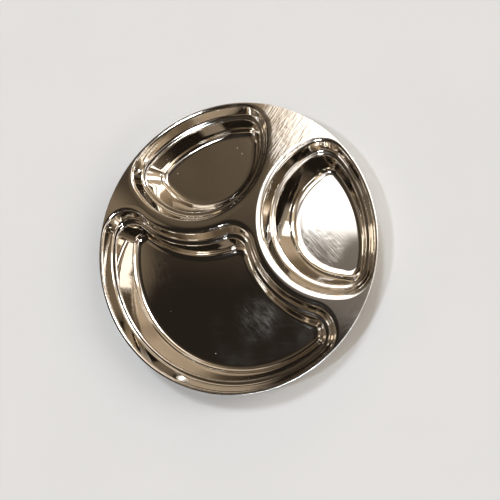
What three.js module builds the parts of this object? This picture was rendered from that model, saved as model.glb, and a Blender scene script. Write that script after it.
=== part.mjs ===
// Divided serving plate pressed from one sheet of polished stainless steel.
//
// A flat deck lies at rim height. Two mirror-image bowls and one larger main compartment are drawn
// down from it to a common floor level. All three have the same stepped wall: a rounded shoulder,
// a short upper wall, a narrow ledge, a taller lower wall and a rounded corner at the floor.
//
// Millimetres, +Z up. The origin is the centre of the round rim, on the surface the floors rest on.
// +Y is the plate's line of symmetry, from the main compartment to the web between the two bowls.
import * as THREE from 'three';

// Sheet and rim
const sheetThickness = 0.8;
const rimRadius = 125;
const rimLip = 1.5; // flat strip between a shoulder and the rim edge

// Depths below the upper side of the deck
const ledgeDepth = 9.5;
const floorDepth = 31;

// Stepped wall: each bend is an inside radius, on the hollow side of that bend
const wallSlopeDegrees = 62; // from the horizontal
const shoulderBend = 2.7;
const ledgeRootBend = 2.5;
const ledgeWidth = 2;
const ledgeNoseBend = 1.2;
const floorBend = 6;

// Plan of the compartments, measured where the shoulders leave the deck
const bowlRadius = 69;
const bowlGap = 5.6; // web between the two bowls, at its narrowest
const bowlCentreY = 62.5;
const bowlCornerAtDeck = 26;
const bowlCornerAtFloor = 4;
const mainWeb = 5; // web between a bowl and the main compartment
const mainCornerAtDeck = 24;
const mainCornerAtFloor = 3.5;
const mainNoseAtDeck = 23; // round nose of the main compartment, between the bowls
const mainNoseAtFloor = 4;

// Facets of each round stretch
const rimFacets = 96;
const edgeFacets = 4;
const bowlRimFacets = 10;
const bowlArcFacets = 24;
const bowlCornerFacets = 6;
const mainRimFacets = 34;
const mainCornerFacets = 7;
const mainWebFacets = 10;
const mainNoseFacets = 8;
const shoulderFacets = 3;
const ledgeBendFacets = 2;
const floorBendFacets = 3;

// Polished stainless steel
const steelColour = 0xd8d4cd;
const steelRoughness = 0.12;

const deckHeight = floorDepth + sheetThickness;
const wallSlope = THREE.MathUtils.degToRad(wallSlopeDegrees);
const shoulderOuterBend = shoulderBend + sheetThickness;
const noseOuterBend = ledgeNoseBend + sheetThickness;
const plateCentre = new THREE.Vector2(0, 0);
const bowlCentre = new THREE.Vector2(bowlRadius + bowlGap / 2, bowlCentreY);
const rightSide = 1;
const leftSide = -1;
const anticlockwise = 1;
const clockwise = -1;
const fullTurn = 2 * Math.PI;

// Point at given distances from two others, to the right or left of the way from the first to the second.
function pointAtDistances(first, fromFirst, second, fromSecond, side) {
  const way = second.clone().sub(first);
  const span = way.length();
  const along = (span ** 2 + fromFirst ** 2 - fromSecond ** 2) / (2 * span);
  const across = side * Math.sqrt(fromFirst ** 2 - along ** 2);
  way.divideScalar(span);
  return new THREE.Vector2(way.y, -way.x)
    .multiplyScalar(across)
    .addScaledVector(way, along)
    .add(first);
}

// Direction of a point seen from another, as an angle.
function directionTo(from, to) {
  return Math.atan2(to.y - from.y, to.x - from.x);
}

// Evenly spaced points on a circle, from a start angle through a sweep, without the last one.
function sweepPoints(centre, radius, start, sweep, facets) {
  return Array.from({ length: facets }, (_, i) => {
    const angle = start + (sweep * i) / facets;
    return new THREE.Vector2(radius * Math.cos(angle), radius * Math.sin(angle)).add(centre);
  });
}

// Points of an arc from one angle to another, without the last one.
function arc(centre, radius, start, end, facets, sense = anticlockwise) {
  const sweep = THREE.MathUtils.euclideanModulo((end - start) * sense, fullTurn);
  return sweepPoints(centre, radius, start, sense * sweep, facets);
}

// The same outline on the other side of the line of symmetry, still anticlockwise.
function mirrored(outline) {
  return outline.map((p) => new THREE.Vector2(-p.x, p.y)).reverse();
}

// Stations of the stepped wall on the upper side of the sheet, from the deck to the floor: how far
// each lies inside the compartment's deck outline, how deep, and how steep the sheet is there.
function wallStations() {
  const stations = [{ inset: 0, drop: 0, slope: 0 }];

  function moveOn(inset, drop, slope) {
    const last = stations.at(-1);
    stations.push({ inset: last.inset + inset, drop: last.drop + drop, slope });
  }
  function bend(radius, from, to, facets) {
    const signedRadius = Math.sign(to - from) * radius;
    for (let i = 0; i < facets; i += 1) {
      const a = THREE.MathUtils.lerp(from, to, i / facets);
      const b = THREE.MathUtils.lerp(from, to, (i + 1) / facets);
      const inset = signedRadius * (Math.sin(b) - Math.sin(a));
      const drop = signedRadius * (Math.cos(a) - Math.cos(b));
      moveOn(inset, drop, b);
    }
  }
  function wallDownTo(depth) {
    const drop = depth - stations.at(-1).drop;
    moveOn(drop / Math.tan(wallSlope), drop, wallSlope);
  }

  const bendDrop = 1 - Math.cos(wallSlope);
  bend(shoulderOuterBend, 0, wallSlope, shoulderFacets);
  wallDownTo(ledgeDepth - ledgeRootBend * bendDrop);
  bend(ledgeRootBend, wallSlope, 0, ledgeBendFacets);
  moveOn(ledgeWidth, 0, 0);
  bend(noseOuterBend, 0, wallSlope, ledgeBendFacets);
  wallDownTo(floorDepth - floorBend * bendDrop);
  bend(floorBend, wallSlope, 0, floorBendFacets);
  return stations;
}

const upperStations = wallStations();
const lowerStations = upperStations.map(({ inset, drop, slope }) => ({
  inset: inset - sheetThickness * Math.sin(slope),
  drop: drop + sheetThickness * Math.cos(slope),
}));
const floorInset = upperStations.at(-1).inset;

// Radius of a corner or nose at some inset: it tightens evenly from the deck to the floor.
function radiusAt(inset, atDeck, atFloor) {
  return THREE.MathUtils.lerp(atDeck, atFloor, inset / floorInset);
}

// Outline of the right-hand bowl: an arc along the rim, a rounder arc, and two corners between them.
function bowlOutline(inset) {
  const rimArc = rimRadius - rimLip - inset;
  const bowlArc = bowlRadius - inset;
  const corner = radiusAt(inset, bowlCornerAtDeck, bowlCornerAtFloor);
  const [low, high] = [rightSide, leftSide].map((side) =>
    pointAtDistances(plateCentre, rimArc - corner, bowlCentre, bowlArc - corner, side),
  );
  const lowFromRim = directionTo(plateCentre, low);
  const highFromRim = directionTo(plateCentre, high);
  const lowFromBowl = directionTo(bowlCentre, low);
  const highFromBowl = directionTo(bowlCentre, high);
  return [
    ...arc(plateCentre, rimArc, lowFromRim, highFromRim, bowlRimFacets),
    ...arc(high, corner, highFromRim, highFromBowl, bowlCornerFacets),
    ...arc(bowlCentre, bowlArc, highFromBowl, lowFromBowl, bowlArcFacets),
    ...arc(low, corner, lowFromBowl, lowFromRim, bowlCornerFacets),
  ];
}

// Outline of the main compartment: a long arc along the rim, two arcs that keep a web to the bowls,
// the round nose between those, and a corner at each end.
function mainOutline(inset) {
  const rimArc = rimRadius - rimLip - inset;
  const webArc = bowlRadius + mainWeb + inset;
  const corner = radiusAt(inset, mainCornerAtDeck, mainCornerAtFloor);
  const rightBowl = bowlCentre;
  const leftBowl = new THREE.Vector2(-bowlCentre.x, bowlCentre.y);
  const right = pointAtDistances(plateCentre, rimArc - corner, rightBowl, webArc + corner, rightSide);
  const left = new THREE.Vector2(-right.x, right.y);
  const noseRadius = radiusAt(inset, mainNoseAtDeck, mainNoseAtFloor);
  const toNose = webArc + noseRadius;
  const nose = pointAtDistances(leftBowl, toNose, rightBowl, toNose, rightSide);
  const rightFromRim = directionTo(plateCentre, right);
  const leftFromRim = directionTo(plateCentre, left);
  const noseToRight = directionTo(nose, rightBowl);
  const noseToLeft = directionTo(nose, leftBowl);
  const cornerToRight = directionTo(right, rightBowl);
  const cornerToLeft = directionTo(left, leftBowl);
  const halfTurn = fullTurn / 2;
  return [
    ...arc(plateCentre, rimArc, leftFromRim, rightFromRim, mainRimFacets),
    ...arc(right, corner, rightFromRim, cornerToRight, mainCornerFacets),
    ...arc(rightBowl, webArc, cornerToRight + halfTurn, noseToRight + halfTurn, mainWebFacets, clockwise),
    ...arc(nose, noseRadius, noseToRight, noseToLeft, mainNoseFacets),
    ...arc(leftBowl, webArc, noseToLeft + halfTurn, cornerToLeft + halfTurn, mainWebFacets, clockwise),
    ...arc(left, corner, cornerToLeft, leftFromRim, mainCornerFacets),
  ];
}

const compartments = [bowlOutline, (inset) => mirrored(bowlOutline(inset)), mainOutline];

// Closed surface of the pressed sheet, made of rings of points joined by strips and flat faces.
function pressedSheet() {
  const positions = [];
  const triangles = [];

  function addRing(outline, z) {
    const first = positions.length / 3;
    outline.forEach((p) => positions.push(p.x, p.y, z));
    return { outline, first, count: outline.length };
  }
  // A strip between two rings that faces up where the first ring lies outside the second.
  function addStrip(outer, inner) {
    for (let i = 0; i < outer.count; i += 1) {
      const next = (i + 1) % outer.count;
      const [a, b] = [outer.first + i, outer.first + next];
      const [c, d] = [inner.first + next, inner.first + i];
      triangles.push(a, b, c, a, c, d);
    }
  }
  // A flat face inside a ring and around any holes, facing up or down.
  function addFace(ring, holes, facesUp) {
    const rings = [ring, ...holes];
    const ids = rings.flatMap(({ first, count }) => Array.from({ length: count }, (_, i) => first + i));
    const faces = THREE.ShapeUtils.triangulateShape(ring.outline, holes.map((hole) => hole.outline));
    faces.forEach((face) => triangles.push(...(facesUp ? face : face.toReversed()).map((i) => ids[i])));
  }
  function addWall(outlineAt, stations) {
    return stations.map(({ inset, drop }) => addRing(outlineAt(inset), deckHeight - drop));
  }

  // Rim edge: a half round of the sheet's thickness, from the upper to the lower side
  const edgeRadius = sheetThickness / 2;
  const edge = Array.from({ length: edgeFacets + 1 }, (_, i) => {
    const tilt = Math.PI / 2 - (Math.PI * i) / edgeFacets;
    const radius = rimRadius - edgeRadius + edgeRadius * Math.cos(tilt);
    const z = deckHeight - edgeRadius + edgeRadius * Math.sin(tilt);
    return addRing(sweepPoints(plateCentre, radius, 0, fullTurn, rimFacets), z);
  });
  edge.slice(1).forEach((ring, i) => addStrip(ring, edge[i]));

  // Food side: walls and floors, then the deck around them
  const upperWalls = compartments.map((outlineAt) => addWall(outlineAt, upperStations));
  upperWalls.forEach((wall) => {
    wall.slice(1).forEach((ring, i) => addStrip(wall[i], ring));
    addFace(wall.at(-1), [], true);
  });
  addFace(edge[0], upperWalls.map((wall) => wall[0]), true);

  // Underside, one sheet thickness below
  const lowerWalls = compartments.map((outlineAt) => addWall(outlineAt, lowerStations));
  lowerWalls.forEach((wall) => {
    wall.slice(1).forEach((ring, i) => addStrip(ring, wall[i]));
    addFace(wall.at(-1), [], false);
  });
  addFace(edge.at(-1), lowerWalls.map((wall) => wall[0]), false);

  const geometry = new THREE.BufferGeometry();
  geometry.setAttribute('position', new THREE.Float32BufferAttribute(positions, 3));
  geometry.setIndex(triangles);
  geometry.computeVertexNormals();
  return geometry;
}

const polishedSteel = new THREE.MeshStandardMaterial({
  color: steelColour,
  roughness: steelRoughness,
  metalness: 1,
});

const pressedPlate = new THREE.Mesh(pressedSheet(), polishedSteel);
pressedPlate.name = 'pressed_plate';

const plate = new THREE.Group();
plate.add(pressedPlate);

export default plate;
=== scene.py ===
# %% [markdown]
# # A divided plate in polished steel
#
# The real plate is one disc of thin stainless steel. A press draws three compartments down into it,
# the edge is trimmed and deburred, and the whole sheet is polished until it mirrors the room.
#
# There is only one piece to make, so this lesson is about two things: a smooth surface whose
# curvature is exact, because a mirror shows every fault, and the light that such a mirror needs.

# %% Load the fixed frame
import math

import bpy
import numpy as np
from mathutils import Matrix, Vector
from mathutils.geometry import tessellate_polygon


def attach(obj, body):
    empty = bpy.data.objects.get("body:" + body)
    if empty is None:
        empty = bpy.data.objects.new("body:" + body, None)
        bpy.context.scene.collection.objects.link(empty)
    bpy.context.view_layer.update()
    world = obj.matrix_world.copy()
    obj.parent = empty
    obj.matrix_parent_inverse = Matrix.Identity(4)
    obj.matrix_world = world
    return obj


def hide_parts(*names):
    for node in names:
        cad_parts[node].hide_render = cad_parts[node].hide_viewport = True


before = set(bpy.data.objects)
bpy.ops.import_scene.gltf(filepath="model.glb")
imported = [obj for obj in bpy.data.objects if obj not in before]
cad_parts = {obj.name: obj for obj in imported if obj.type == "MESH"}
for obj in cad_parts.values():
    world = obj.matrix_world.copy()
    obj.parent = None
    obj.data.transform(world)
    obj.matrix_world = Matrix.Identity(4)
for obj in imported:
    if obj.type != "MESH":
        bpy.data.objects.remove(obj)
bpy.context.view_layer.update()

# %% [markdown]
# ## The plate's sizes
#
# These are the plate's own dimensions in metres: the sheet, the round rim, the stepped wall that all
# three compartments share, and their outlines where they leave the deck. A corner or the nose has two
# radii, one at the deck and a tighter one at the floor. Everything below is worked out from these
# sizes, so the surface can be as fine as the picture needs without a single stored point.

# %% Sizes of the sheet, the wall and the outlines
MM = 0.001
sheet = 0.8 * MM
rim_radius = 125 * MM
rim_lip = 1.5 * MM
ledge_depth = 9.5 * MM
floor_depth = 31 * MM
wall_slope = math.radians(62)
roll_slope = math.radians(6.5)
shoulder_bend = 2.8 * MM
ledge_root_bend = 2.5 * MM
ledge_width = 1.4 * MM
ledge_slope = math.radians(5)
ledge_nose_bend = 2 * MM
floor_bend = 5 * MM
bowl_radius = 69 * MM
bowl_centre = np.array([71.8, 62.5]) * MM
bowl_corner = (26 * MM, 7 * MM)
main_web = 5 * MM
main_corner = (24 * MM, 3.5 * MM)
main_nose = (23 * MM, 4 * MM)
deck_height = floor_depth + sheet
plate_centre = np.zeros(2)
print(f"deck {deck_height / MM:.1f} mm above the table, rim {2 * rim_radius / MM:.0f} mm across")

# %% [markdown]
# ## The camera
#
# A round rim seen at an angle is an ellipse, and its shape tells where the eye was. The plate leans
# about 21 degrees away from the line of sight, and its line of symmetry points up and to the right
# in the picture. From those readings the plate's three axes are known in the camera's own terms,
# and turning that round gives the camera's place over a plate that lies flat.

# %% Place the camera by the ellipse of the rim
SENSOR_WIDTH = 36
image_size = 500
focal_pixels = 815.2
camera_to_deck = 0.6875
lean_angle = math.radians(20.91)
lean_direction = math.radians(204.96)
symmetry_direction = math.radians(297)
rim_centre_pixels = np.array([230.52, 245.25])


def unit(vector):
    return vector / np.linalg.norm(vector)


up_axis = np.array([
    math.sin(lean_angle) * math.cos(lean_direction),
    math.sin(lean_angle) * math.sin(lean_direction),
    -math.cos(lean_angle),
])
in_picture = np.array([math.cos(symmetry_direction), math.sin(symmetry_direction), 0])
y_axis = unit(in_picture - up_axis * (up_axis @ in_picture))
x_axis = np.cross(y_axis, up_axis)
plate_from_camera = np.array([x_axis, y_axis, up_axis])
offset = (rim_centre_pixels - image_size / 2) / focal_pixels
deck_centre_seen = camera_to_deck * np.array([*offset, 1])
eye = plate_from_camera @ -deck_centre_seen + np.array([0, 0, deck_height])
right, down, forward = plate_from_camera.T

camera_data = bpy.data.cameras.new("photo_camera")
camera_data.sensor_width = SENSOR_WIDTH
camera_data.lens = focal_pixels / image_size * SENSOR_WIDTH
camera = bpy.data.objects.new("photo_camera", camera_data)
camera.matrix_world = Matrix.Translation(eye) @ Matrix(np.array([right, -down, -forward]).T).to_4x4()
bpy.context.scene.collection.objects.link(camera)
bpy.context.scene.camera = camera
print("camera at", np.round(eye, 4), "lens", round(camera_data.lens, 2), "mm")

# %% [markdown]
# ## Arcs that touch
#
# A press tool is drawn with a compass, and so are the plate's outlines: arcs that run into each other
# without a kink. A corner arc touches two larger circles, so its centre lies at known distances from
# both. A Bezier curve could imitate that, but only the true arcs keep an even reflection.

# %% Arcs and the points between circles
FULL_TURN = 2 * math.pi


def point_at_distances(first, from_first, second, from_second, side):
    """The point at given distances from two others, on the right (1) or left (-1) of the way."""
    way = second - first
    span = np.linalg.norm(way)
    way = way / span
    along = (span**2 + from_first**2 - from_second**2) / (2 * span)
    across = side * math.sqrt(from_first**2 - along**2)
    return first + along * way + across * np.array([way[1], -way[0]])


def direction(start, end):
    return math.atan2(end[1] - start[1], end[0] - start[0])


def arc(centre, radius, start, end, steps, sense=1):
    """Points from one angle to another, without the last one; sense -1 turns clockwise."""
    sweep = sense * (((end - start) * sense) % FULL_TURN)
    angles = start + sweep * np.arange(steps) / steps
    return centre + radius * np.stack([np.cos(angles), np.sin(angles)], axis=-1)


print("arc of a quarter turn:", np.round(arc(plate_centre, 1, 0, math.pi / 2, 3), 3).tolist())

# %% [markdown]
# ## The stepped wall
#
# Cut through the plate and every wall has the same steps: a rounded shoulder, a short wall, a narrow
# ledge on which a lid or a stacked plate could catch, a taller wall and a wide round bend into the
# floor. The profile is a list of stations. Each says how far it lies inside the deck outline, how
# deep, how steep the sheet is there, which later gives the exact surface normal, and how much hands
# and stacking have worn it.
#
# A press never leaves a sheet dead flat up to a bend. The deck starts to roll over a little before
# the shoulder, and the floor rises gently before its bend. Both rolls are at most a few tenths of a
# millimetre high, but on a mirror they draw the bright lines round each compartment. Beside the rim
# there is no room for a wide roll, and the taller wall is not equally steep on all sides. So a
# compartment has one profile along the rim and another along the webs, the strips between them.

# %% Stations of the wall from the deck to the floor
INSET, DROP, SLOPE, WEAR = range(4)
DECK_ROLL_STEPS, SHOULDER_STEPS, UPPER_WALL_STEPS, LEDGE_BEND_STEPS = 6, 10, 3, 8
LOWER_WALL_STEPS, FLOOR_BEND_STEPS, FLOOR_ROLL_STEPS = 6, 12, 8
SHOULDER_WEAR, LEDGE_NOSE_WEAR = 1.0, 0.7


def bend_drop(radius, steep, shallow):
    return radius * (math.cos(shallow) - math.cos(steep))


def wall_profile(start, deck_roll, lower_degrees, floor_roll):
    """Stations as rows of inset, drop, slope and wear, from the flat deck to the flat floor."""
    lower_slope = math.radians(lower_degrees)
    stations = [(start, 0.0, 0.0, 0.0)]

    def move_on(inset, drop, slope, wear=0.0):
        stations.append((stations[-1][INSET] + inset, stations[-1][DROP] + drop, slope, wear))

    def bend(radius, first, last, steps, wear=0.0):
        signed = math.copysign(radius, last - first)
        slopes = np.linspace(first, last, steps + 1)
        for a, b in zip(slopes, slopes[1:]):
            move_on(signed * (math.sin(b) - math.sin(a)), signed * (math.cos(a) - math.cos(b)), b, wear)

    def wall_down_to(depth, slope, steps):
        drop = (depth - stations[-1][DROP]) / steps
        for _ in range(steps):
            move_on(drop / math.tan(slope), drop, slope)

    root_drop = bend_drop(ledge_root_bend, wall_slope, ledge_slope)
    floor_drop = bend_drop(floor_bend, lower_slope, roll_slope) + bend_drop(floor_roll, roll_slope, 0)
    bend(deck_roll, 0, roll_slope, DECK_ROLL_STEPS)
    bend(shoulder_bend, roll_slope, wall_slope, SHOULDER_STEPS, SHOULDER_WEAR)
    wall_down_to(ledge_depth - root_drop, wall_slope, UPPER_WALL_STEPS)
    bend(ledge_root_bend, wall_slope, ledge_slope, LEDGE_BEND_STEPS)
    move_on(ledge_width, ledge_width * math.tan(ledge_slope), ledge_slope)
    bend(ledge_nose_bend, ledge_slope, lower_slope, LEDGE_BEND_STEPS, LEDGE_NOSE_WEAR)
    wall_down_to(floor_depth - floor_drop, lower_slope, LOWER_WALL_STEPS)
    bend(floor_bend, lower_slope, roll_slope, FLOOR_BEND_STEPS)
    bend(floor_roll, roll_slope, 0, FLOOR_ROLL_STEPS)
    return np.array(stations)


bowl_rim_wall = wall_profile(start=-0.9 * MM, deck_roll=8 * MM, lower_degrees=79, floor_roll=30 * MM)
main_rim_wall = wall_profile(start=-0.9 * MM, deck_roll=8 * MM, lower_degrees=69, floor_roll=30 * MM)
bowl_web_wall = wall_profile(start=-2.5 * MM, deck_roll=42 * MM, lower_degrees=67, floor_roll=40 * MM)
main_web_wall = wall_profile(start=-2.2 * MM, deck_roll=33 * MM, lower_degrees=78, floor_roll=30 * MM)
wall_wear = main_rim_wall[:, WEAR]
wall_steps = np.diff(main_rim_wall[:, [INSET, DROP]], axis=0)
wall_length = np.concatenate([[0], np.cumsum(np.hypot(*wall_steps.T))])
floor_inset = main_rim_wall[-1, INSET]
for profile in (bowl_rim_wall, bowl_web_wall, main_rim_wall, main_web_wall):
    steepest = math.degrees(profile[:, SLOPE].max())
    floor_edge = profile[-1, INSET] / MM
    print(f"wall: {len(profile)} stations, up to {steepest:.0f} degrees, floor edge {floor_edge:.1f} mm in")

# %% [markdown]
# ## The outlines
#
# A bowl is the overlap of a large circle with the round rim, its corners rounded off. The main
# compartment is what the rim leaves below the bowls, with a rounded nose that reaches up between
# them. Asked for an outline further inside, the same circles shrink or grow and the corners tighten,
# as they do in a real draw.
#
# Each point of an outline also has a share that says which of the two wall profiles holds there. It
# eases from one to the other through the corners, so that the walls run into each other smoothly.

# %% Outline of a bowl and of the main compartment at any depth
BOWL_RIM_POINTS, BOWL_CORNER_POINTS, BOWL_WEB_POINTS = 40, 32, 110
MAIN_RIM_POINTS, MAIN_CORNER_POINTS, MAIN_WEB_POINTS, MAIN_NOSE_POINTS = 140, 36, 48, 40
EASING_POINTS = 18


def radius_at(inset, radii):
    """A corner's radius at some inset: it tightens evenly from the deck to the floor."""
    return radii[0] + (radii[1] - radii[0]) * inset / floor_inset


def bowl_outline(inset):
    """The right-hand bowl: an arc along the rim, a rounder arc and two corners between them."""
    rim_arc = rim_radius - rim_lip - inset
    bowl_arc = bowl_radius - inset
    corner = radius_at(inset, bowl_corner)
    low, high = (
        point_at_distances(plate_centre, rim_arc - corner, bowl_centre, bowl_arc - corner, side)
        for side in (1, -1)
    )
    low_rim, high_rim = direction(plate_centre, low), direction(plate_centre, high)
    low_bowl, high_bowl = direction(bowl_centre, low), direction(bowl_centre, high)
    return np.concatenate([
        arc(plate_centre, rim_arc, low_rim, high_rim, BOWL_RIM_POINTS),
        arc(high, corner, high_rim, high_bowl, BOWL_CORNER_POINTS),
        arc(bowl_centre, bowl_arc, high_bowl, low_bowl, BOWL_WEB_POINTS),
        arc(low, corner, low_bowl, low_rim, BOWL_CORNER_POINTS),
    ])


def left_bowl_outline(inset):
    return (bowl_outline(inset) * [-1, 1])[::-1]


def main_outline(inset):
    """A long arc along the rim, two arcs beside the bowls, the nose between them, two corners."""
    rim_arc = rim_radius - rim_lip - inset
    web_arc = bowl_radius + main_web + inset
    corner = radius_at(inset, main_corner)
    left_bowl = bowl_centre * [-1, 1]
    right_end = point_at_distances(plate_centre, rim_arc - corner, bowl_centre, web_arc + corner, 1)
    left_end = right_end * [-1, 1]
    nose_radius = radius_at(inset, main_nose)
    to_nose = web_arc + nose_radius
    nose = point_at_distances(left_bowl, to_nose, bowl_centre, to_nose, 1)
    right_rim, left_rim = direction(plate_centre, right_end), direction(plate_centre, left_end)
    right_web = direction(bowl_centre, right_end), direction(bowl_centre, nose)
    left_web = direction(left_bowl, nose), direction(left_bowl, left_end)
    return np.concatenate([
        arc(plate_centre, rim_arc, left_rim, right_rim, MAIN_RIM_POINTS),
        arc(right_end, corner, right_rim, direction(right_end, bowl_centre), MAIN_CORNER_POINTS),
        arc(bowl_centre, web_arc, *right_web, MAIN_WEB_POINTS, -1),
        arc(nose, nose_radius, direction(nose, bowl_centre), direction(nose, left_bowl), MAIN_NOSE_POINTS),
        arc(left_bowl, web_arc, *left_web, MAIN_WEB_POINTS, -1),
        arc(left_end, corner, direction(left_end, left_bowl), left_rim, MAIN_CORNER_POINTS),
    ])


def web_share(rim_points, corner_points, web_points):
    """For each point round an outline: 0 beside the rim, 1 beside a web, eased in the corners."""
    climb = np.arange(corner_points) / corner_points
    share = np.concatenate([np.zeros(rim_points), climb, np.ones(web_points), 1 - climb])
    window = np.hanning(2 * EASING_POINTS + 1)
    eased = np.convolve(np.tile(share, 3), window / window.sum(), "same")
    return eased[len(share):2 * len(share), None]


bowl_share = web_share(BOWL_RIM_POINTS, BOWL_CORNER_POINTS, BOWL_WEB_POINTS)
main_share = web_share(MAIN_RIM_POINTS, MAIN_CORNER_POINTS, 2 * MAIN_WEB_POINTS + MAIN_NOSE_POINTS)
compartments = {
    "right bowl": (bowl_outline, bowl_rim_wall, bowl_web_wall, bowl_share),
    "left bowl": (left_bowl_outline, bowl_rim_wall, bowl_web_wall, bowl_share[::-1]),
    "main": (main_outline, main_rim_wall, main_web_wall, main_share),
}
for name, (outline, _, _, share) in compartments.items():
    span = np.ptp(outline(0), axis=0) / MM
    print(f"{name}: {span[0]:.0f} x {span[1]:.0f} mm at the deck, {len(share)} points round")

# %% [markdown]
# ## The pressed sheet
#
# The surface is a grid for each compartment, outline by station, plus flat faces for the floors and
# the deck. Blender could guess the normals from the faces, but on a mirror that guess shows as faint
# ripples beside every flat. The normals are therefore computed: the step along the outline and the
# step down the wall are both known, and the normal is square to both. The underside is the same
# grid moved by the sheet's thickness, and a half round closes the sheet at the rim.

# %% Points and normals of one side of a compartment
NUDGE = 0.02 * MM


def wall_grid(outline, rim_wall, web_wall, share, under):
    """Points, outward normals and slopes, station by station, on the food side or the underside."""
    points, normals, leans = [], [], []

    def between(beside_rim, beside_web):
        return beside_rim * (1 - share) + beside_web * share

    def inwards(inset):
        return (outline(inset + NUDGE) - outline(inset - NUDGE)) / (2 * NUDGE)

    for (rim_inset, rim_drop, rim_slope, _), (web_inset, web_drop, web_slope, _) in zip(rim_wall, web_wall):
        ring = between(outline(rim_inset), outline(web_inset))
        point = np.column_stack([ring, deck_height - between(rim_drop, web_drop)])
        slope = between(rim_slope, web_slope)
        inward = between(inwards(rim_inset), inwards(web_inset))
        along = np.roll(point, -1, axis=0) - np.roll(point, 1, axis=0)
        normal = np.cross(along, np.column_stack([inward * np.cos(slope), -np.sin(slope)]))
        normal *= np.sign(normal[:, 2:])
        normal /= np.linalg.norm(normal, axis=1, keepdims=True)
        points.append(point - sheet * normal if under else point)
        normals.append(-normal if under else normal)
        leans.append(slope[:, 0] / wall_slope)
    return points, normals, leans


test_points, test_normals, _ = wall_grid(*compartments["main"], under=False)
print("grid of the main compartment:", np.shape(test_points), "first normal", test_normals[0][0])

# %% [markdown]
# ## What the finish has to know
#
# Wear and marks follow the shape: hands rub the convex bends, and the press drags its marks down the
# walls. A material could guess the bends from the mesh, but here they are known, so each point
# carries them along: how steep it is as a share of the upper wall, how worn, whether it is on the
# underside, and its place on a plain tube onto which the wall is rolled. A texture on that tube runs
# down the wall without a seam.

# %% Rolling a wall onto a tube
TUBE_APART = 300 * MM


def tube_places(outline, number):
    """For each station, the points round a tube as long as the outline, one tube per compartment."""
    ring = outline(0)
    steps = np.linalg.norm(np.roll(ring, -1, axis=0) - ring, axis=1)
    turns = FULL_TURN * (np.cumsum(steps) - steps) / steps.sum()
    radius = steps.sum() / FULL_TURN
    circle = radius * np.stack([np.cos(turns), np.sin(turns)], axis=-1)
    return [np.column_stack([circle, np.full(len(ring), number * TUBE_APART + way)]) for way in wall_length]


main_tube = tube_places(main_outline, 0)[0]
print("tube of the main compartment:", round(np.ptp(main_tube[:, 0]) / MM), "mm across")

# %% Rings, strips and flat faces of the mesh
vertices, vertex_normals, faces = [], [], []
traits = {"lean": [], "wear": [], "underside": []}
tube = []


def add_ring(points, normals, lean=0.0, wear=0.0, underside=0.0, places=None):
    """Adds points with their normals and traits, and returns their numbers in the mesh."""
    first = len(vertices)
    vertices.extend(map(tuple, points))
    vertex_normals.extend(map(tuple, normals))
    for name, value in (("lean", lean), ("wear", wear), ("underside", underside)):
        traits[name].extend(np.broadcast_to(value, len(points)))
    tube.extend(map(tuple, np.zeros((len(points), 3)) if places is None else places))
    return np.arange(first, first + len(points))


def add_strip(outer, inner, flip):
    """A band of four-cornered faces between two rings that have the same number of points."""
    a, b = outer, np.roll(outer, -1)
    c, d = np.roll(inner, -1), inner
    quads = np.stack([a, b, c, d], axis=-1)
    faces.extend(map(tuple, (quads[:, ::-1] if flip else quads).tolist()))


def add_flat(rings, facing):
    """A flat face inside the first ring and round the others, facing up (1) or down (-1)."""
    loops = [[Vector(vertices[i]) for i in ring] for ring in rings]
    ids = np.concatenate(rings)
    for triangle in tessellate_polygon(loops):
        corners = [int(ids[i]) for i in triangle]
        a, b, c = (Vector(vertices[i]) for i in corners)
        upward = (b - a).cross(c - a).z * facing > 0
        faces.append(tuple(corners if upward else corners[::-1]))


print("each point carries", ", ".join(traits), "and its place on the tube")

# %% The rounded edge of the sheet at the rim
RIM_STEPS = 256
EDGE_STEPS = 8
angles = FULL_TURN * np.arange(RIM_STEPS) / RIM_STEPS
outward = np.column_stack([np.cos(angles), np.sin(angles)])
edge_rings = []
for step, tilt in enumerate(np.linspace(math.pi / 2, -math.pi / 2, EDGE_STEPS + 1)):
    radius = rim_radius - sheet / 2 + sheet / 2 * math.cos(tilt)
    height = deck_height - sheet / 2 + sheet / 2 * math.sin(tilt)
    rim_points = np.column_stack([outward * radius, np.full(RIM_STEPS, height)])
    rim_normals = np.column_stack([outward * math.cos(tilt), np.full(RIM_STEPS, math.sin(tilt))])
    edge_rings.append(add_ring(rim_points, rim_normals, underside=float(step == EDGE_STEPS)))
for upper, lower in zip(edge_rings, edge_rings[1:]):
    add_strip(lower, upper, flip=False)
print("edge:", len(edge_rings), "rings of", RIM_STEPS, "points")

# %% Both sides of the sheet
for under in (False, True):
    facing = -1 if under else 1
    mouths = []
    for number, (outline, rim_wall, web_wall, share) in enumerate(compartments.values()):
        grid = wall_grid(outline, rim_wall, web_wall, share, under)
        grid = zip(*grid, wall_wear, tube_places(outline, number))
        rings = [
            add_ring(point, normal, lean, wear, float(under), places)
            for point, normal, lean, wear, places in grid
        ]
        for outer, inner in zip(rings, rings[1:]):
            add_strip(outer, inner, flip=under)
        add_flat(rings[-1:], facing)
        mouths.append(rings[0])
    add_flat([edge_rings[-1 if under else 0], *mouths], facing)
print("sheet:", len(vertices), "points,", len(faces), "faces")

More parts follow.
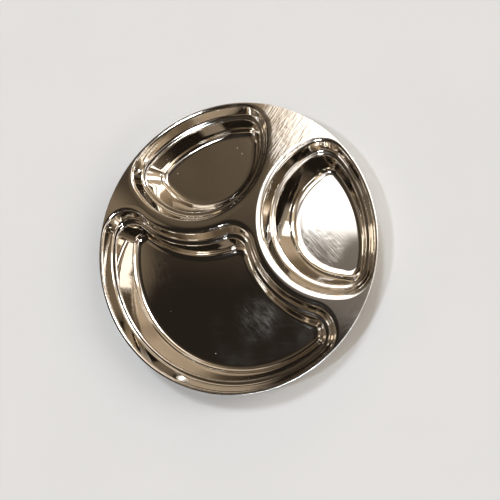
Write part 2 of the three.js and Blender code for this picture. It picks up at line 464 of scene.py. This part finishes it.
# %% One closed mesh in the fixed frame
plate_mesh = bpy.data.meshes.new("polished_plate")
plate_mesh.from_pydata(vertices, [], faces)
plate_mesh.shade_smooth()
plate_mesh.normals_split_custom_set_from_vertices(vertex_normals)
for name, values in traits.items():
    plate_mesh.attributes.new(name, "FLOAT", "POINT").data.foreach_set("value", values)
tube_trait = plate_mesh.attributes.new("tube", "FLOAT_VECTOR", "POINT")
tube_trait.data.foreach_set("vector", np.array(tube).ravel())
plate = bpy.data.objects.new("polished_plate", plate_mesh)
bpy.context.scene.collection.objects.link(plate)
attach(plate, "root")
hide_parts("pressed_plate")
print("plate mesh:", len(plate_mesh.vertices), "points,", len(plate_mesh.polygons), "faces")

# %% [markdown]
# ## Shader nodes in few words
#
# A finish is a small network of nodes. Four helpers keep the next cells short: one adds any node and
# fills or links its sockets, one does arithmetic, one fades a value in between two limits, and one
# adds up a list of values.

# %% Helpers for shader nodes


def add_node(tree, kind, inputs=None, **settings):
    """Adds a node; inputs maps socket names or numbers to values or to other nodes' sockets."""
    node = tree.nodes.new("ShaderNode" + kind)
    for name, value in settings.items():
        setattr(node, name, value)
    for name, value in (inputs or {}).items():
        if isinstance(value, bpy.types.NodeSocket):
            tree.links.new(value, node.inputs[name])
        else:
            node.inputs[name].default_value = value
    return node


def calc(tree, operation, *values):
    return add_node(tree, "Math", dict(enumerate(values)), operation=operation).outputs[0]


def fade_in(tree, value, low, high, least=0.0, most=1.0):
    limits = {"Value": value, "From Min": low, "From Max": high, "To Min": least, "To Max": most}
    return add_node(tree, "MapRange", limits, interpolation_type="SMOOTHSTEP").outputs[0]


def add_up(tree, values):
    total = values[0]
    for value in values[1:]:
        total = calc(tree, "ADD", total, value)
    return total


print("node helpers:", ", ".join(helper.__name__ for helper in (add_node, calc, fade_in, add_up)))

# %% [markdown]
# ## Mirror-polished steel
#
# Polished steel has almost no colour of its own: it shows the room, a little darker and warmer. What
# makes it look like a used plate is the way it disturbs that image. The sheet ripples where it was
# drawn, cleaning leaves straight scratches in patches, fingers leave films, and the trimmed edge
# was rubbed down to a satin line. Each of these is a layer in roughness or bump below, in
# millimetres on the plate, so that it keeps its true size in any view. Limits are pairs: a layer
# begins at the first value and is full at the second.

# %% Steel: where on the plate a point lies
LEVEL_LEANS, WALL_LEANS = (0.22, 0.06), (0.1, 0.6)
steel = bpy.data.materials.new("mirror_steel")
steel.use_nodes = True
metal = steel.node_tree
steel_shader = metal.nodes["Principled BSDF"]
steel_shader.inputs["Metallic"].default_value = 1


def in_millimetres(place):
    return add_node(metal, "VectorMath", {0: place, "Scale": 1 / MM}, operation="SCALE").outputs[0]


def trait(name, output="Fac"):
    return add_node(metal, "Attribute", attribute_name=name).outputs[output]


on_plate = in_millimetres(add_node(metal, "TexCoord").outputs["Object"])
on_wall = in_millimetres(trait("tube", "Vector"))
lean, wear, underside = trait("lean"), trait("wear"), trait("underside")
level = fade_in(metal, lean, *LEVEL_LEANS)
walls = fade_in(metal, lean, *WALL_LEANS)


def cloud(place, grain, detail=2.0, stretch=(1, 1, 1), turn=0.0):
    """Noise whose blobs are about one grain wide, longer along an axis where stretched."""
    size = tuple(grain * s for s in stretch)
    own = add_node(metal, "Mapping", {
        "Vector": place, "Rotation": (0, 0, math.radians(turn)), "Scale": size,
    }, vector_type="TEXTURE")
    noise = add_node(metal, "TexNoise", {"Vector": own.outputs[0], "Scale": 1, "Detail": detail})
    return noise.outputs[0]


print("steel: places and traits ready")

# %% [markdown]
# ### Scratches
#
# Scouring leaves bundles of straight scratches, most of them where the plate is level and easy to
# rub. Stretched noise gives such a bundle: many times longer than wide, turned to the direction of
# the rubbing. Each bundle fades out over its border and only marks level steel. Sparse hair lines,
# about three centimetres long, lie all over the level steel.

# %% Steel: bundles of scratches: centre, radius, border, turn, strength
FLOOR_TOP, DECK_TOP = sheet / MM, deck_height / MM
PATCH_SIZE, PATCH_LIMITS, LEAST_PATCH = 9, (0.30, 0.62), 0.55
COARSE_WIDTH, COARSE_STRETCH = 1.5, (9, 1, 1)
FINE_WIDTH, FINE_STRETCH, FINE_SHARE = 0.5, (16, 1, 1), 0.4
FINE_LIMITS, LEAST_SCRATCH_BLUR, MOST_SCRATCH_BLUR = (0.42, 0.6), 0.04, 0.15
HAIR_WIDTH, HAIR_STRETCH, HAIR_TURN, HAIR_LIMITS = 0.7, (45, 1, 1), 25, (0.66, 0.72)
scratch_bundles = {
    "deck between the bowls": ((-4, 108, DECK_TOP), 20, 16, 82, 1.0),
    "web beside the right bowl": ((2, 74, DECK_TOP), 4, 22, 82, 0.3),
    "right bowl floor": ((63, 33, FLOOR_TOP), 15, 10, -20, 0.6),
    "main floor, right": ((40, -46, FLOOR_TOP), 9, 20, -21, 0.45),
    "main floor, left": ((-60, -48, FLOOR_TOP), 5, 18, -42, 0.25),
    "right deck": ((119, -8, DECK_TOP), 4, 14, 60, 0.25),
}
scratch_heights, scratch_blurs = [], []
for centre, radius, border, turn, strength in scratch_bundles.values():
    far = add_node(metal, "VectorMath", {0: on_plate, 1: centre}, operation="DISTANCE").outputs["Value"]
    here = calc(metal, "MULTIPLY", fade_in(metal, far, radius + border, radius), level)
    patches = cloud(on_plate, PATCH_SIZE)
    patchy = fade_in(metal, patches, *PATCH_LIMITS, LEAST_PATCH * strength, strength)
    here = calc(metal, "MULTIPLY", here, patchy)
    coarse = cloud(on_plate, COARSE_WIDTH, detail=1.0, stretch=COARSE_STRETCH, turn=turn)
    fine = cloud(on_plate, FINE_WIDTH, detail=1.0, stretch=FINE_STRETCH, turn=turn)
    both = calc(metal, "MULTIPLY_ADD", fine, FINE_SHARE, coarse)
    dulled = fade_in(metal, fine, *FINE_LIMITS, LEAST_SCRATCH_BLUR, MOST_SCRATCH_BLUR)
    scratch_heights.append(calc(metal, "MULTIPLY", both, here))
    scratch_blurs.append(calc(metal, "MULTIPLY", dulled, here))
hair = cloud(on_plate, HAIR_WIDTH, detail=0.0, stretch=HAIR_STRETCH, turn=HAIR_TURN)
hair_lines = calc(metal, "MULTIPLY", fade_in(metal, hair, *HAIR_LIMITS), level)
print("steel:", len(scratch_bundles), "bundles of scratches")

# %% [markdown]
# ### Ripples, films and specks
#
# The walls keep a slow ripple from the drawing and faint lines that run down them, and the whole
# sheet sways a little. A film from fingers and drying water dulls the mirror in large soft clouds,
# dry drops leave dull specks, and the worn bends are rubbed paler.

# %% Steel: how much the mirror is blurred
SATIN_START, SATIN_FULL = rim_radius / MM - 1.1, rim_radius / MM - 0.5
FILM_SIZE, FILM_LIMITS = 34, (0.40, 0.72)
SPECK_SPACING, SPECK_CHOICE, SPECK_EDGE = 7, (0.86, 0.88), (0.075, 0.045)
RUB_SIZE, RUB_LIMITS = 4, (0.42, 0.66)
CLEAN_BLUR, FILM_BLUR, HAIR_BLUR, SPECK_BLUR = 0.035, 0.035, 0.012, 0.35
RUBBED_BLUR, SATIN_BLUR, UNDERSIDE_BLUR, MOST_BLUR = 0.06, 0.12, 0.12, 0.6
across = add_node(metal, "VectorMath", {0: on_plate, 1: (1, 1, 0)}, operation="MULTIPLY").outputs[0]
from_middle = add_node(metal, "VectorMath", {0: across}, operation="LENGTH").outputs["Value"]
rim_band = fade_in(metal, from_middle, SATIN_START, SATIN_FULL)
film = fade_in(metal, cloud(on_plate, FILM_SIZE, detail=4.0), *FILM_LIMITS)
dots = add_node(metal, "TexVoronoi", {"Vector": on_plate, "Scale": 1 / SPECK_SPACING})
lot = add_node(metal, "SeparateColor", {0: dots.outputs["Color"]}).outputs[0]
chosen = fade_in(metal, lot, *SPECK_CHOICE)
specks = calc(metal, "MULTIPLY", chosen, fade_in(metal, dots.outputs["Distance"], *SPECK_EDGE))
rubbed_places = fade_in(metal, cloud(on_wall, RUB_SIZE, detail=3.0), *RUB_LIMITS)
rubbed = calc(metal, "MULTIPLY", wear, rubbed_places)
blur = add_up(metal, [
    calc(metal, "MULTIPLY_ADD", film, FILM_BLUR, CLEAN_BLUR),
    *scratch_blurs,
    calc(metal, "MULTIPLY", hair_lines, HAIR_BLUR),
    calc(metal, "MULTIPLY", specks, SPECK_BLUR),
    calc(metal, "MULTIPLY", rubbed, RUBBED_BLUR),
    calc(metal, "MULTIPLY", rim_band, SATIN_BLUR),
    calc(metal, "MULTIPLY", underside, UNDERSIDE_BLUR),
])
metal.links.new(calc(metal, "MINIMUM", blur, MOST_BLUR), steel_shader.inputs["Roughness"])
print("steel: roughness from", CLEAN_BLUR, "to", MOST_BLUR)

# %% Steel: colour
clean_steel = (0.67, 0.64, 0.60, 1)
filmed_steel = (0.60, 0.565, 0.515, 1)
rubbed_steel = (0.74, 0.72, 0.69, 1)
filmed = add_node(metal, "Mix", {"Factor": film, "A": clean_steel, "B": filmed_steel}, data_type="RGBA")
bare = calc(metal, "MAXIMUM", rubbed, rim_band)
steel_colour = add_node(metal, "Mix", {
    "Factor": bare, "A": filmed.outputs["Result"], "B": rubbed_steel,
}, data_type="RGBA")
metal.links.new(steel_colour.outputs["Result"], steel_shader.inputs["Base Color"])
print("steel: clean", clean_steel[:3], "filmed", filmed_steel[:3], "rubbed", rubbed_steel[:3])

# %% Steel: ripples and scratches as bump
RIPPLE_SIZE, RIPPLE_STRETCH, RIPPLE_HEIGHT = 20, (1, 1, 2), 0.16 * MM
DRAWN_WIDTH, DRAWN_STRETCH, DRAWN_SHARE = 3.2, (1, 1, 9), 0.06
SWAY_SIZE, SWAY_SHARE = 55, 0.6
SCRATCH_HEIGHT = 0.05 * MM
slow = cloud(on_wall, RIPPLE_SIZE, detail=1.0, stretch=RIPPLE_STRETCH)
slow_ripple = calc(metal, "MULTIPLY", slow, walls)
drawn = cloud(on_wall, DRAWN_WIDTH, detail=1.0, stretch=DRAWN_STRETCH)
drawn_lines = calc(metal, "MULTIPLY", drawn, walls)
sway = cloud(on_plate, SWAY_SIZE, detail=0.0)
ripple = add_up(metal, [
    slow_ripple,
    calc(metal, "MULTIPLY", drawn_lines, DRAWN_SHARE),
    calc(metal, "MULTIPLY", sway, SWAY_SHARE),
])
ripple_bump = add_node(metal, "Bump", {"Strength": 1, "Distance": RIPPLE_HEIGHT, "Height": ripple})
scratch_bump = add_node(metal, "Bump", {
    "Strength": 1, "Distance": SCRATCH_HEIGHT, "Height": add_up(metal, scratch_heights),
    "Normal": ripple_bump.outputs["Normal"],
})
metal.links.new(scratch_bump.outputs["Normal"], steel_shader.inputs["Normal"])
plate_mesh.materials.append(steel)
print("steel:", len(metal.nodes), "nodes")

# %% [markdown]
# ## The studio floor
#
# A sheet of matt paper, pale and almost neutral. It lies in the plane on which the plate stands and
# takes the plate's shadow. A trace of cloudiness and a fine tooth keep it from looking like a blank.

# %% Floor of pale paper
FLOOR_HALF = 12.0
PAPER_ROUGHNESS = 0.9
CLOUDS_PER_METRE, TOOTH_PER_METRE = 9, 900
TOOTH_STRENGTH, TOOTH_HEIGHT = 0.25, 0.1 * MM
dim_paper = (0.745, 0.773, 0.800, 1)
bright_paper = (0.780, 0.808, 0.834, 1)
floor_mesh = bpy.data.meshes.new("studio_floor")
floor_corners = [(x * FLOOR_HALF, y * FLOOR_HALF, 0) for x, y in ((-1, -1), (1, -1), (1, 1), (-1, 1))]
floor_mesh.from_pydata(floor_corners, [], [(0, 1, 2, 3)])
floor = bpy.data.objects.new("studio_floor", floor_mesh)
bpy.context.scene.collection.objects.link(floor)

paper = bpy.data.materials.new("studio_paper")
paper.use_nodes = True
paper_nodes = paper.node_tree
paper_shader = paper_nodes.nodes["Principled BSDF"]
paper_shader.inputs["Roughness"].default_value = PAPER_ROUGHNESS
on_paper = add_node(paper_nodes, "TexCoord").outputs["Object"]
shade = add_node(paper_nodes, "TexNoise", {
    "Vector": on_paper, "Scale": CLOUDS_PER_METRE, "Detail": 3,
}).outputs[0]
tooth = add_node(paper_nodes, "TexNoise", {
    "Vector": on_paper, "Scale": TOOTH_PER_METRE, "Detail": 2,
}).outputs[0]
tone = add_node(paper_nodes, "Mix", {
    "Factor": shade, "A": dim_paper, "B": bright_paper,
}, data_type="RGBA")
grain = add_node(paper_nodes, "Bump", {
    "Strength": TOOTH_STRENGTH, "Distance": TOOTH_HEIGHT, "Height": tooth,
})
paper_nodes.links.new(tone.outputs["Result"], paper_shader.inputs["Base Color"])
paper_nodes.links.new(grain.outputs["Normal"], paper_shader.inputs["Normal"])
floor_mesh.materials.append(paper)
print("floor:", 2 * FLOOR_HALF, "m square")

# %% [markdown]
# ## The light
#
# A mirror is lit by what it shows, so the room matters more than any lamp. Here it is painted on the
# sky: a dark room with soft boxes, windows and warm walls, each a soft-edged patch in some direction.
# A Mapping node turns every direction into the patch's own frame, where its edge is simply a distance
# from the middle. Two small and strong patches, the keys, give about four tenths of the light. With
# the others they light a level surface at a strength of about one, so colours keep their written
# value.
#
# Angles are in degrees: the azimuth runs from +X towards +Y, the elevation is counted above the table,
# and the turn is about the line towards the patch. The fade says how far beyond its edge a patch
# thins out, as a share of its half width and half height.

# %% Soft lights: shape, azimuth, elevation, half width, half height, turn, fade, tint, strength
ROUND, SQUARE = "round", "square"
COOL, WHITE, DAYLIGHT = (0.89, 0.94, 1), (1, 1, 1), (1, 0.96, 0.92)
CREAM, TAN, BROWN = (1, 0.9, 0.8), (1, 0.83, 0.64), (1, 0.76, 0.5)
dark_room = (0.026, 0.02, 0.015)
soft_lights = {
    "overhead panel": (SQUARE, 151, 70.5, 4, 5.5, -33, 0.2, WHITE, 2.3),
    "key": (ROUND, 112, 68, 3, 3, 0, 1, COOL, 43),
    "second key": (ROUND, 232, 76, 1.5, 1.5, 0, 1, COOL, 134),
    "warm halo": (ROUND, 133, 67, 7, 7, 0, 1, BROWN, 0.85),
    "panel spill": (ROUND, 166, 63, 4, 4, 0, 2, BROWN, 0.11),
    "deck glow": (ROUND, 175, 75.5, 2.5, 2.5, 0, 1.3, CREAM, 0.19),
    "ceiling lamp": (ROUND, 166, 81, 1.5, 1.5, 0, 0.6, DAYLIGHT, 4),
    "high pane": (SQUARE, 60, 89, 7.5, 3.5, 28, 0.7, DAYLIGHT, 1.1),
    "loft light": (ROUND, 311, 80, 8, 8, 0, 0.9, CREAM, 0.8),
    "ceiling patch": (ROUND, 327, 58.5, 2.5, 2.5, 0, 0.3, BROWN, 5),
    "shelf light": (ROUND, 193, 57, 5, 5, 0, 0.4, BROWN, 0.22),
    "tall window": (SQUARE, 49, 37, 5.5, 11.5, -10, 0.6, DAYLIGHT, 5),
    "low window": (SQUARE, 342, 32, 7.5, 3.5, 5, 0.5, DAYLIGHT, 4),
    "small window": (SQUARE, 121, 41, 2.5, 2.5, 0, 0.25, WHITE, 1.2),
    "far window": (SQUARE, 226, 16, 4.5, 2.5, 15, 0.2, WHITE, 5),
    "door light": (ROUND, 20, 26.5, 4, 4, 0, 0.25, WHITE, 5),
    "low pane": (SQUARE, 197, 29, 2.5, 8, 5, 0.2, TAN, 2.4),
    "side pane": (SQUARE, 28, 27, 10, 37, -17, 1.4, TAN, 0.31),
    "corner pane": (SQUARE, 248, 20, 25, 6, 33, 0.5, BROWN, 0.3),
    "tan wall": (SQUARE, 123, 25, 21, 10, 12, 0.6, TAN, 0.65),
    "side wall": (SQUARE, 59, 23, 16, 23, 40, 1.1, TAN, 0.55),
    "upper wall": (ROUND, 89, 47, 20, 20, 0, 2, BROWN, 0.26),
    "far wall": (ROUND, 2, 42, 21, 21, 0, 0.7, BROWN, 0.19),
    "dim wall": (ROUND, 212, 26, 19, 19, 0, 0.35, TAN, 0.21),
    "low wall": (ROUND, 335, 6, 9, 9, 0, 0.6, BROWN, 0.3),
    "corner wall": (ROUND, 289, 44, 4, 4, 0, 0.8, TAN, 0.42),
    "floor bounce": (ROUND, 52, 14, 44, 44, 0, 0.25, BROWN, 0.1),
}


def lamp_frame(azimuth, elevation, turn):
    """The lamp's own axes, right, up and outward, as the columns of a matrix."""
    a, e = math.radians(azimuth), math.radians(elevation)
    outward = Vector((math.cos(e) * math.cos(a), math.cos(e) * math.sin(a), math.sin(e)))
    sideways = Vector((-math.sin(a), math.cos(a), 0))
    upright = Matrix((sideways, outward.cross(sideways), outward)).transposed()
    return upright @ Matrix.Rotation(math.radians(turn), 3, "Z")


print("lamp straight ahead along X looks along", lamp_frame(0, 0, 0).col[2][:])

# %% Paint the lights on the room
LEAST_AHEAD = 0.001
world = bpy.data.worlds.new("studio")
bpy.context.scene.world = world
world.use_nodes = True
room = world.node_tree
looking = add_node(room, "TexCoord").outputs["Generated"]
light_so_far = (*dark_room, 1)
for name, light in soft_lights.items():
    shape, azimuth, elevation, width, height, turn, fade, tint, strength = light
    half = (math.tan(math.radians(width)), math.tan(math.radians(height)), 1)
    own = add_node(room, "Mapping", {
        "Vector": looking, "Rotation": lamp_frame(azimuth, elevation, turn).to_euler(), "Scale": half,
    }, vector_type="TEXTURE").outputs[0]
    x, y, ahead = add_node(room, "SeparateXYZ", {0: own}).outputs
    if shape == SQUARE:
        reach = calc(room, "MAXIMUM", calc(room, "ABSOLUTE", x), calc(room, "ABSOLUTE", y))
    else:
        reach = calc(room, "SQRT", calc(room, "MULTIPLY_ADD", x, x, calc(room, "MULTIPLY", y, y)))
    reach = calc(room, "DIVIDE", reach, calc(room, "MAXIMUM", ahead, LEAST_AHEAD))
    colour = (*(strength * part for part in tint), 1)
    light_so_far = add_node(room, "Mix", {
        "Factor": fade_in(room, reach, 1 + fade, 1), "A": light_so_far, "B": colour,
    }, label=name, data_type="RGBA", blend_type="ADD").outputs["Result"]
room.links.new(light_so_far, room.nodes["Background"].inputs["Color"])
print("room:", len(soft_lights), "soft lights")

# %% [markdown]
#
# The Standard view shows colours as they are written.

# %% View
bpy.context.scene.view_settings.view_transform = "Standard"
bpy.context.view_layer.update()
